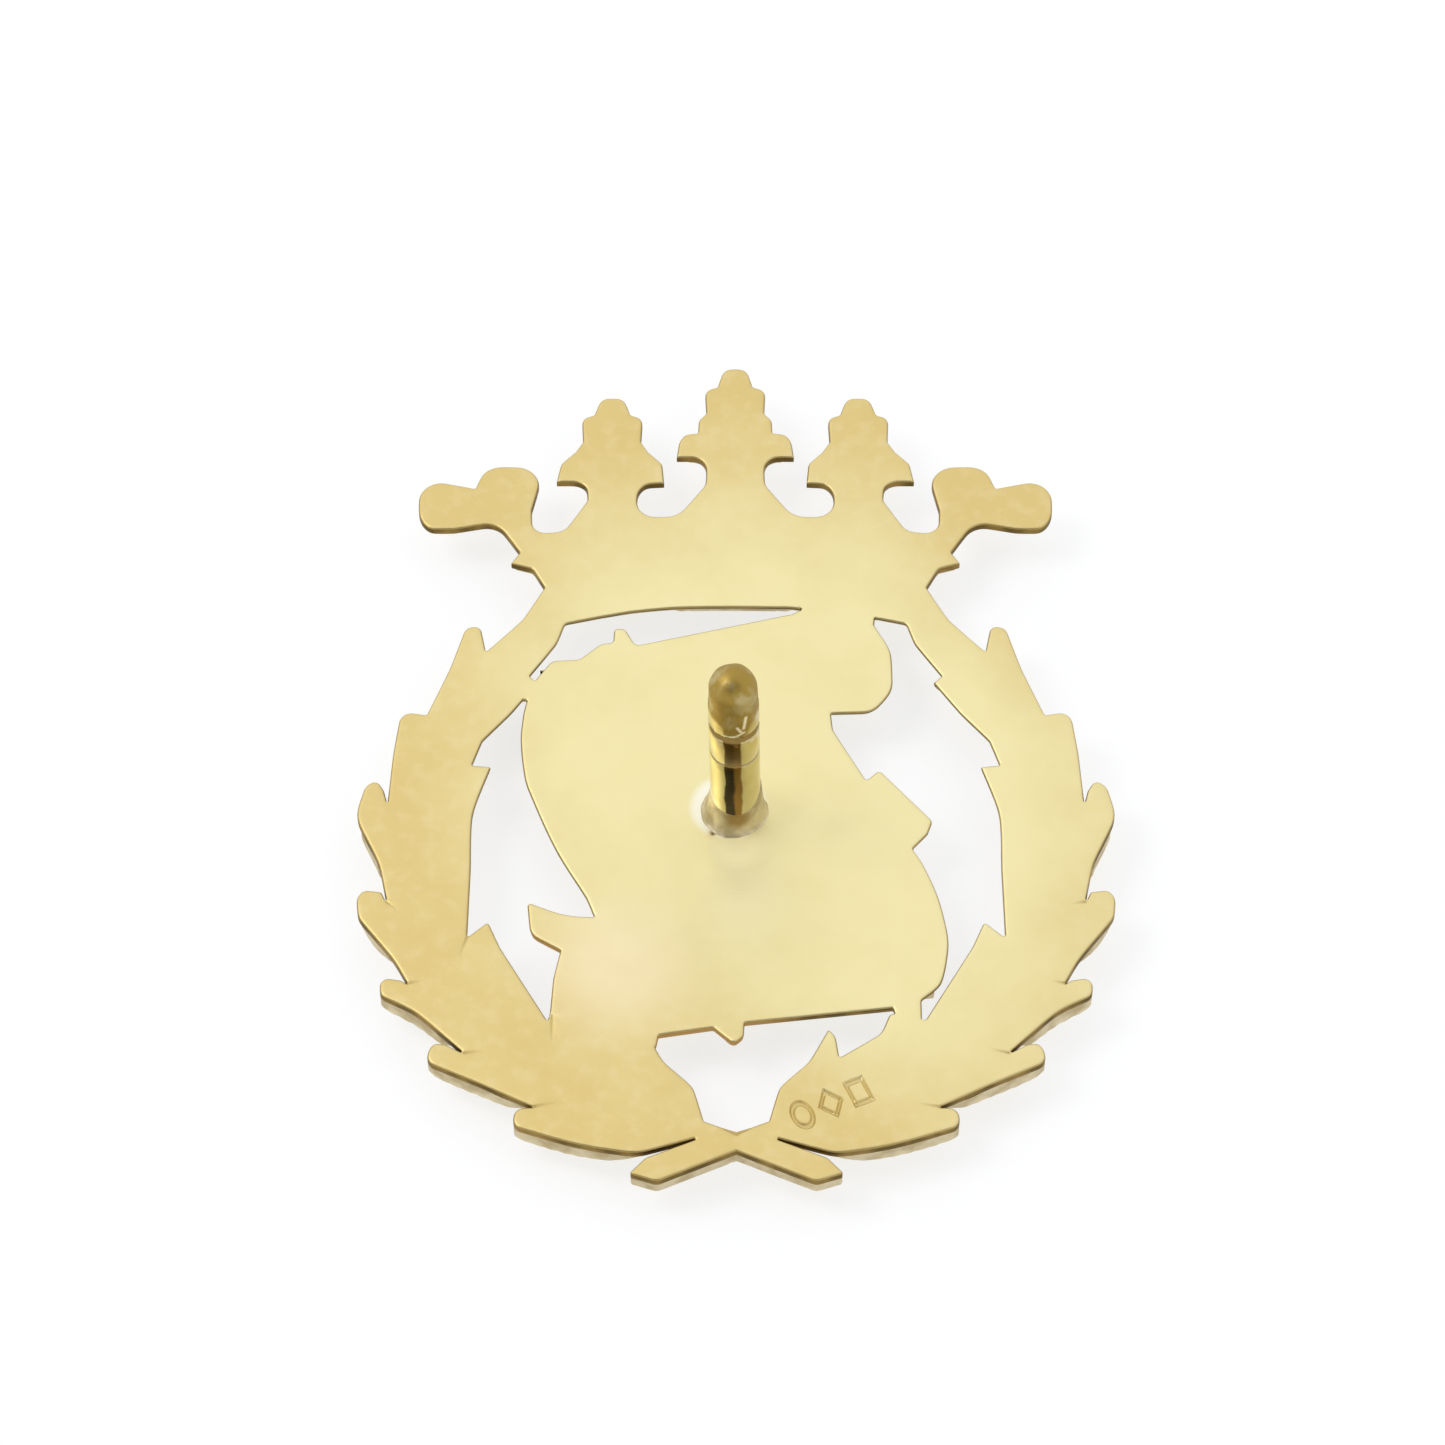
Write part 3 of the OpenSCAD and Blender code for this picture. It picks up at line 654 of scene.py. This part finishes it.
def post_profile():
    """Shaft with a fine ring and a groove cut in it, then a slightly waisted rounded tip."""
    ring = [(-0.03, 0.012), (0, 0.03), (0.03, 0.012)]
    groove = [(-0.09, 0.02), (-0.03, 0.075), (0, 0.09), (0.03, 0.075), (0.09, 0.02)]
    tip_r = POST_R - 0.022
    body = [(0, -0.05), (POST_R, -0.05)]
    body += [(POST_R, z) for z in np.linspace(0.1, RING_Z - 0.06, 8)]
    body += [(POST_R - cut, RING_Z + z) for z, cut in ring]
    body += [(POST_R, RING_Z + 0.06), (POST_R, 3.0), (POST_R, GROOVE_Z - 0.13)]
    body += [(POST_R - cut, GROOVE_Z + z) for z, cut in groove]
    body += [(POST_R, GROOVE_Z + 0.13), (POST_R, 3.85), (POST_R, 4.05)]
    body += [(POST_R - 0.004, 4.2), (POST_R - 0.018, 4.3), (tip_r, 4.45)]
    dome = [
        (tip_r * math.cos(w), POST_H - POST_R + POST_R * math.sin(w))
        for w in np.linspace(0, math.pi / 2, 26)
    ]
    return body + dome[:-1] + [(0, POST_H)]


def post_radius(r, z, w):
    """Slightly hammered tip and a crumpled groove."""
    x, y = math.cos(w), math.sin(w)
    dent = noise.noise(Vector((2.3 * x, 2.3 * y, 1.9 * z)))
    tip = min(1, max(0, (z - 4.3) / 0.5))
    groove = math.exp(-(((z - GROOVE_Z) / 0.09) ** 2))
    crumple = noise.noise(Vector((5 * x, 5 * y, 3 * z + 7)))
    return r * (1 + 0.05 * tip * dent) + 0.05 * groove * crumple


post_verts, post_faces = lathe(post_profile(), 144, post_radius)
# The post leans slightly to the left
post_verts[:, 0] -= 0.015 * post_verts[:, 2]
piece("post", [(post_verts, post_faces)], gilt_post, "gilt_post", "mounting_post", sharp=60)


def collar_profile():
    """Fillet of solder, thickest at the plate."""
    foot = [(0, -0.02), (0.74, -0.02), (0.74, 0.0)]
    rise = [
        (0.555 + 0.17 * (1 - math.sin(w)) ** 0.6, 0.44 * (1 - math.cos(w)) + 0.01)
        for w in np.linspace(0.05, math.pi / 2, 16)
    ]
    return foot + rise + [(0.53, 0.46), (0.50, 0.44), (0, 0.44)]


def collar_radius(r, z, w):
    """Solder that has run unevenly round the post."""
    x, y = math.cos(w), math.sin(w)
    lump = noise.noise(Vector((1.1 * x, 1.1 * y, 0.9 * z + 4)))
    ripple = noise.noise(Vector((3.2 * x, 3.2 * y, 3 * z + 9)))
    out = max(0, r - 0.545)
    return r + out * (0.3 * lump - 0.15 * x) + 0.025 * ripple * min(1, out / 0.1)


collar_verts, collar_faces = lathe(collar_profile(), 144, collar_radius)
# The solder climbs highest at the back and the sides
climb = np.clip(0.9 + 1.2 * collar_verts[:, 1], 0, 1)
collar_verts[:, 2] *= 1.1 + 1.2 * climb * (collar_verts[:, 2] > 0)
piece(
    "solder_collar", [(collar_verts, collar_faces)], solder, "solder", "post_solder_collar",
    sharp=60,
)


# ---------------------------------------------------------------- front relief

def relief(node, depth, z=FRONT_Z, step=0.1, rings=(0.02, 0.06, 0.12), hidden=True, corner=24):
    """Solid over a CAD node's outline, with depth(points, distance from its edge) below the sheet.
    It stays out of sight behind the sheet when seen from above the back: at the openings'
    edges always, and at the sheet's outer edge too if it is hidden."""
    outline = Outline(wall_loops(node, z), 0.07, corner)
    points = np.concatenate([outline.ring(r) for r in rings] + [outline.grid(step)])

    def front(at):
        down = depth(at, outline.distance(at))
        covered = plate.distance(at) * plate.inside(at) if hidden else openings.distance(at)
        down = np.minimum(down, 0.03 + 1.25 * covered)
        return FRONT_Z - np.maximum(down, 0.02)

    return slab(outline, points, front_ground, front, tucked, tucked)


# Leaves of the right branch: base, tip, width
OUTER_LEAVES = [
    [(1.35, -8.20), (4.90, -7.80), 1.15], [(3.50, -7.10), (6.70, -6.20), 1.15],
    [(5.15, -5.75), (7.80, -4.45), 1.05], [(6.15, -4.10), (8.30, -2.15), 1.10],
    [(6.75, -2.20), (8.05, 0.85), 1.50], [(6.90, -0.50), (7.30, 2.75), 1.10],
    [(6.62, 1.50), (5.90, 5.05), 0.90], [(5.65, 3.55), (4.45, 5.85), 0.75],
]
INNER_LEAVES = [
    [(0.95, -8.00), (1.97, -5.55), 0.95], [(2.45, -7.25), (3.50, -5.35), 0.95],
    [(4.20, -6.05), (5.36, -2.85), 0.95], [(5.85, -3.90), (5.95, -0.70), 0.80],
    [(6.35, -1.80), (5.40, 1.20), 0.95], [(6.38, 0.90), (4.45, 3.50), 0.95],
    [(5.75, 2.90), (4.10, 5.10), 0.80],
]


def leaf_depth(leaves, side):
    """Domed leaves that overlap, each with a midrib and side veins."""
    def depth(points, edge):
        deepest = np.full(len(points), 0.27)
        for base, tip, width in leaves:
            base, tip = (np.array([side * end[0], end[1]]) for end in (base, tip))
            length = np.linalg.norm(tip - base)
            way = (tip - base) / length
            u = (points - base) @ way / length
            v = np.abs((points - base) @ np.array([-way[1], way[0]]))
            half = width / 2 * np.sin(math.pi * np.clip(u, 0.001, 0.999)) ** 0.8
            r = v / half
            swell = 0.10 + 0.06 * np.sin(math.pi * np.clip(u, 0, 1))
            down = 0.27 + swell * (1 - np.clip(r, 0, 1) ** 1.8) + 0.03 * u
            down += 0.045 * np.exp(-((v / 0.045) ** 2)) * step_up(1 - u, 0.0, 0.2)
            vein = np.cos(2 * math.pi * (u * length - 1.1 * v) / 0.36)
            down += 0.018 * vein * np.clip(4 * r * (1 - r), 0, 1)
            within = (u > 0) & (u < 1) & (r < 1)
            deepest = np.where(within, np.maximum(deepest, down), deepest)
        return deepest
    return depth


for side, word in ((1, "right"), (-1, "left")):
    for row, leaves in (("outer", OUTER_LEAVES), ("inner", INNER_LEAVES)):
        node = f"{word}_{row}_leaves"
        solid = relief(node, leaf_depth(leaves, side), step=0.085, rings=(0.03, 0.08), hidden=False)
        piece(f"{row}_leaf_row_{word}", [solid], gilt_leaf, "gilt_relief", node)


def stem_depth(points, edge):
    bark = 0.02 * wobble(points, 0.22, 5.0)
    return 0.24 + 0.16 * round_over(edge, 0.24) + bark * step_up(edge, 0.0, 0.1)


for word in ("right", "left"):
    solid = relief(f"{word}_stem", stem_depth, step=0.08, rings=(0.02, 0.06, 0.12), hidden=False)
    piece(f"branch_{word}", [solid], gilt_leaf, "gilt_relief", f"{word}_stem")


# Crown: the circlet runs about a centre high above it
CIRCLET_R = 11.9
CIRCLET_Y = 5.52 + CIRCLET_R


def along_circlet(points):
    return CIRCLET_R * np.arctan2(points[:, 0], CIRCLET_Y - points[:, 1])


def rope_depth(points, edge):
    """Round rim with slanting strands like a rope's."""
    strand = np.cos(2 * math.pi * (along_circlet(points) - 1.6 * edge) / 0.34)
    return 0.08 + 0.30 * round_over(edge, 0.15) * (0.9 + 0.1 * strand)


def band_depth(points, edge):
    return 0.22 + 0.02 * wobble(points, 0.12, 2.0)


for name, depth in (
    ("circlet_lower_rim", rope_depth), ("circlet_upper_rim", rope_depth), ("circlet_band", band_depth)
):
    solid = relief(name, depth, step=0.07, rings=(0.02, 0.06), corner=30)
    piece(f"crown_{name}", [solid], gilt_crown, "gilt_relief", name)


def circlet_stones():
    """Domed stones in collets, with small faceted lozenges between them."""
    parts = []
    for i in range(-3, 4):
        w = math.radians(6.2 * i)
        middle = np.array([
            (CIRCLET_R - 0.65) * math.sin(w), CIRCLET_Y - (CIRCLET_R - 0.65) * math.cos(w),
            FRONT_Z - 0.2,
        ])
        if i % 2 == 0:
            collet = [(0, 0.1), (0.28, 0.1), (0.28, -0.12), (0.265, -0.14), (0.24, -0.14), (0.225, -0.12)]
            dome = [(0.22 * math.cos(a), -0.12 - 0.2 * math.sin(a)) for a in np.linspace(0.05, 1.4, 10)]
            profile = collet + dome + [(0, -0.32)]
            verts, faces = lathe(profile, 48)
        else:
            profile = [(0, 0.1), (0.27, 0.1), (0.27, -0.1), (0.13, -0.3), (0.12, -0.305), (0, -0.31)]
            verts, faces = lathe(profile, 4)
            verts = verts @ np.array([
                [math.cos(w), math.sin(w), 0], [-math.sin(w), math.cos(w), 0], [0, 0, 1]
            ])
        parts.append((verts + middle, [f[::-1] for f in faces]))
    return parts


piece("crown_stones", circlet_stones(), gilt_crown, "gilt_relief", "circlet_stones")

# Lobes of the florets, as x, y, radius
CENTRE_LOBES = [
    (0, 11.93, 0.24), (0.37, 11.34, 0.24), (-0.37, 11.34, 0.24), (0.42, 10.76, 0.28),
    (-0.42, 10.76, 0.28), (0.84, 10.02, 0.32), (-0.84, 10.02, 0.32),
]
SIDE_LOBES = [
    (2.84, 11.08, 0.23), (2.46, 10.50, 0.23), (3.22, 10.50, 0.23), (2.62, 9.98, 0.3),
    (3.06, 9.98, 0.3), (2.16, 9.40, 0.3), (3.55, 9.40, 0.3),
]
END_LOBES = [(5.12, 8.80, 0.5), (6.54, 8.35, 0.52)]


def floret_depth(lobes, side, spine):
    """Pillowed floret: a ring and a bead on every lobe, and a raised spine up the stalk."""
    def depth(points, edge):
        down = 0.1 + 0.24 * round_over(edge, 0.4)
        for x, y, r in lobes:
            away = np.linalg.norm(points - np.array([side * x, y]), axis=1) / r
            down += 0.1 * np.exp(-((away / 0.42) ** 2)) - 0.05 * np.exp(-(((away - 0.72) / 0.16) ** 2))
        if spine is not None:
            across = points[:, 0] - side * spine
            down += 0.07 * np.exp(-((across / 0.08) ** 2)) * step_up(edge, 0.05, 0.2)
            fan = np.cos(2 * math.pi * np.abs(across) / 0.34)
            down += 0.03 * fan * step_up(9.0 - points[:, 1], 0.0, 0.4)
        return down
    return depth


FLORETS = [
    ("centre_floret", CENTRE_LOBES, 1, 0.0), ("right_floret", SIDE_LOBES, 1, 2.84),
    ("left_floret", SIDE_LOBES, -1, 2.84), ("right_end_floret", END_LOBES, 1, None),
    ("left_end_floret", END_LOBES, -1, None),
]
for name, lobes, side, spine in FLORETS:
    solid = relief(name, floret_depth(lobes, side, spine), step=0.075, corner=40)
    piece(f"crown_{name}", [solid], gilt_crown, "gilt_relief", name)


# ---------------------------------------------------------------- scroll on the front

SLOPE = math.radians(8)


def parchment_depth(points, edge):
    """Gently waved sheet with faint ruled lines."""
    across = points[:, 1] * math.cos(SLOPE) - points[:, 0] * math.sin(SLOPE)
    wave = 0.03 * np.sin(1.3 * across + 0.5) + 0.008 * wobble(points, 0.5, 1.0)
    ruled = 0.02 * np.exp(-((((across + 0.2) % 0.62 - 0.31) / 0.035) ** 2))
    return 0.34 + wave - ruled * step_up(edge, 0.3, 0.5)


piece(
    "scroll_parchment", [relief("parchment", parchment_depth, step=0.11)],
    gilt_scroll, "gilt_relief", "parchment",
)


def roll(start, length, slope, width, height):
    """Rolled end of the scroll: a bar with a lapped edge, slightly waisted, coiled at both ends."""
    stations, around = 60, 40
    verts = np.zeros((stations + 1, around + 1, 3))
    for i in range(stations + 1):
        s = i / stations
        grow = min(1, 1 - 0.05 * math.sin(math.pi * s) + 0.012 * math.sin(9 * s))
        for k in range(around + 1):
            w = math.pi * k / around
            lap = 0.045 * (w > 1.9) * grow
            verts[i, k] = (
                length * s, (width / 2 * grow - lap) * math.cos(w),
                -(height * grow - lap) * math.sin(w),
            )
    faces = []
    for i in range(stations):
        for k in range(around):
            a = i * (around + 1) + k
            faces.append((a, a + 1, a + around + 2, a + around + 1))
        back = i * (around + 1)
        faces.append((back + around, back, back + around + 1, back + 2 * around + 1))
    flat = verts.reshape(-1, 3).tolist()
    for end, outward in ((0, -1), (stations, 1)):
        faces += coiled_cap(flat, verts[end], end * (around + 1), around, outward)
    turned = np.array(flat)
    c, s = math.cos(slope), math.sin(slope)
    x = start[0] + turned[:, 0] * c - turned[:, 1] * s
    y = start[1] + turned[:, 0] * s + turned[:, 1] * c
    return np.stack([x, y, FRONT_Z + turned[:, 2]], 1), faces


def coiled_cap(verts, rim, first, around, outward):
    """End of a roll: a half disc with a coil sunk in it."""
    rings = 14
    middle = (rim[0] + rim[around]) / 2
    rows = [list(range(first, first + around + 1))]
    for j in range(1, rings):
        t = 1 - j / rings
        rows.append(list(range(len(verts), len(verts) + around + 1)))
        for k in range(around + 1):
            p = middle + (rim[k] - middle) * t
            coil = (t * 3.2 + k / around / 2) % 1
            sunk = 0.09 * min(1, 4 * min(coil, 1 - coil)) * min(1, 3 * (1 - t))
            verts.append((p[0] - outward * (0.09 - sunk + 0.01), p[1], p[2]))
    tip = len(verts)
    verts.append((middle[0] - outward * 0.05, middle[1], middle[2]))
    faces = []
    for outer, inner in zip(rows, rows[1:]):
        for k in range(around):
            faces.append((outer[k], inner[k], inner[k + 1], outer[k + 1]))
        faces.append((outer[around], inner[around], inner[0], outer[0]))
    last = rows[-1]
    faces += [(last[k], tip, last[k + 1]) for k in range(around)] + [(last[around], tip, last[0])]
    return faces if outward < 0 else [f[::-1] for f in faces]


piece(
    "scroll_upper_roll", [roll((-4.25, 2.92), 7.4, math.radians(8), 1.9, FRONT_Z - RELIEF_Z)],
    gilt_scroll, "gilt_relief", "upper_roll", sharp=32,
)
piece(
    "scroll_lower_roll", [roll((-3.68, -4.70), 7.9, math.radians(7.6), 1.9, FRONT_Z - RELIEF_Z)],
    gilt_scroll, "gilt_relief", "lower_roll", sharp=32,
)


def ribbon_depth(points, edge):
    """Cloth band with a stitched edge and long soft folds."""
    folds = 0.035 * np.cos(2 * math.pi * np.clip(edge, 0, 0.6) / 0.3)
    hem = 0.03 * np.exp(-(((edge - 0.08) / 0.03) ** 2))
    return 0.46 + folds + hem + 0.01 * wobble(points, 0.4, 6.0)


piece(
    "scroll_ribbon", [relief("ribbon", ribbon_depth, z=FRONT_Z - 0.5, step=0.09)],
    gilt_scroll, "gilt_relief", "ribbon",
)


def quill_depth(base):
    """Feather: a shaft along its middle and fine barbs that sweep back from it."""
    low, high = np.array([-0.75, -3.20]), np.array([-2.10, 2.70])
    way = (high - low) / np.linalg.norm(high - low)

    def depth(points, edge):
        u = (points - low) @ way
        v = np.abs((points - low) @ np.array([-way[1], way[0]]))
        barbs = 0.02 * np.cos(2 * math.pi * (u - 1.2 * v) / 0.2) * step_up(edge, 0.0, 0.06)
        shaft = 0.07 * np.exp(-((v / 0.06) ** 2))
        return base + 0.06 * round_over(edge, 0.3) + barbs + shaft
    return depth


piece(
    "scroll_quill",
    [
        relief("quill", quill_depth(0.42), z=FRONT_Z - 0.5, step=0.075),
        relief("quill", quill_depth(0.24), step=0.075),
    ],
    gilt_scroll, "gilt_relief", "quill",
)


def seal_solid():
    """Round seal with a beaded rim and a plain eight-petalled rosette."""
    rings, turns = 44, 160
    verts, faces = [(0, 0, 0.1)], []
    radius = 0.95
    outer = [(radius, 0.1)] + [(radius - 0.02 * k, -0.12 - 0.07 * k / 3) for k in range(4)]
    profile = outer + [((radius - 0.06) * (1 - j / rings), None) for j in range(1, rings)]
    for r, z in profile:
        for k in range(turns):
            w = 2 * math.pi * k / turns
            height = z if z is not None else -seal_relief(r, w)
            verts.append((r * math.cos(w), r * math.sin(w), height))
    top = len(verts)
    verts.append((0, 0, -seal_relief(0, 0)))
    for k in range(turns):
        m = (k + 1) % turns
        faces.append((0, 1 + k, 1 + m))
        for j in range(len(profile) - 1):
            a, b = 1 + j * turns, 1 + (j + 1) * turns
            faces.append((a + k, b + k, b + m, a + m))
        a = 1 + (len(profile) - 1) * turns
        faces.append((a + k, top, a + m))
    return np.array(verts) + np.array([0.55, -0.56, FRONT_Z - 0.5]), faces


def seal_relief(r, w):
    bead = 0.06 * max(0, math.cos(20 * w)) * math.exp(-(((r - 0.76) / 0.06) ** 2))
    rim = 0.2 * (1 / (1 + math.exp(-(r - 0.66) / 0.015)))
    petal = abs(math.cos(4 * w))
    flower = 0.1 * max(0, 1 - (r / (0.28 + 0.26 * petal)) ** 2) * (0.7 + 0.3 * petal)
    heart = 0.06 * math.exp(-((r / 0.09) ** 2))
    return 0.08 + min(0.2, rim) * 0.6 + bead + flower + heart


piece("scroll_seal", [seal_solid()], gilt_scroll, "gilt_relief", "seal")


# ---------------------------------------------------------------- floor, light and camera

def floor():
    """White table under the lowest relief, which gives off some light of its own."""
    size = 0.9
    z = cad_low[2]
    mesh = bpy.data.meshes.new("floor")
    mesh.from_pydata(
        [(-size, -size, z), (size, -size, z), (size, size, z), (-size, size, z)], [], [(0, 1, 2, 3)]
    )
    n = Nodes("lit_white_table")
    n.bsdf.inputs["Emission Color"].default_value = (0.98, 0.988, 1, 1)
    n.bsdf.inputs["Emission Strength"].default_value = 0.735
    tint = n.mix(n.noise(0.05, 2.0), (0.275, 0.275, 0.28), (0.285, 0.285, 0.29))
    mesh.materials.append(n.finish(tint, 0.9, n.bump(n.noise(2.0), 0.05, 0.05), 0.0))
    obj = bpy.data.objects.new("floor", mesh)
    bpy.context.scene.collection.objects.link(obj)
    obj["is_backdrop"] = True


VIEW_EL = math.radians(55.7)
TO_CAMERA = Vector((0, -math.cos(VIEW_EL), math.sin(VIEW_EL)))
MIRRORED = Vector((0, math.cos(VIEW_EL), math.sin(VIEW_EL)))
DARK_SIDE = Vector((-0.13, -0.57, 0.81))


def sky():
    """Even white surroundings: a softer patch opposite the viewer, a dark one on the viewer's side."""
    world = bpy.data.worlds.new("studio")
    world.use_nodes = True
    tree = world.node_tree
    background = tree.nodes["Background"]
    place = tree.nodes.new("ShaderNodeTexCoord")

    def patch(direction, inner, outer, at_middle, outside):
        dot = tree.nodes.new("ShaderNodeVectorMath")
        dot.operation = "DOT_PRODUCT"
        dot.inputs[1].default_value = direction
        tree.links.new(place.outputs["Generated"], dot.inputs[0])
        ramp = tree.nodes.new("ShaderNodeMapRange")
        ramp.interpolation_type = "SMOOTHSTEP"
        numbers = (math.cos(math.radians(outer)), math.cos(math.radians(inner)), outside, at_middle)
        for socket, number in zip(ramp.inputs[1:], numbers):
            socket.default_value = number
        tree.links.new(dot.outputs["Value"], ramp.inputs[0])
        return ramp.outputs[0]

    product = tree.nodes.new("ShaderNodeMath")
    product.operation = "MULTIPLY"
    tree.links.new(patch(DARK_SIDE, 22, 34, 0.03, 1.0), product.inputs[0])
    tree.links.new(patch(MIRRORED, 5, 40, 1.1, 1.0), product.inputs[1])
    background.inputs["Color"].default_value = (1, 1, 1, 1)
    tree.links.new(product.outputs[0], background.inputs["Strength"])
    bpy.context.scene.world = world


def soft_light(name, place, size, power):
    data = bpy.data.lights.new(name, "AREA")
    data.shape = "DISK"
    data.size = size
    data.energy = power
    obj = bpy.data.objects.new(name, data)
    obj.location = place
    obj.rotation_euler = (-Vector(place)).to_track_quat("-Z", "Y").to_euler()
    bpy.context.scene.collection.objects.link(obj)


def camera():
    """Long lens that looks down on the badge's back from beyond the wreath's lower end."""
    data = bpy.data.cameras.new("camera")
    data.sensor_width = 36
    data.lens = 135
    data.clip_start = 0.005
    data.clip_end = 10
    obj = bpy.data.objects.new("camera", data)
    target = Vector((-0.295, 2.33, 0)) * MM
    obj.location = target + TO_CAMERA * 0.12042
    obj.rotation_euler = (-TO_CAMERA).to_track_quat("-Z", "Y").to_euler()
    bpy.context.scene.collection.objects.link(obj)
    bpy.context.scene.camera = obj


floor()
sky()
soft_light("key_light", (-0.16, 0.02, 0.22), 0.12, 0.16)
camera()
bpy.context.scene.view_settings.view_transform = "Standard"
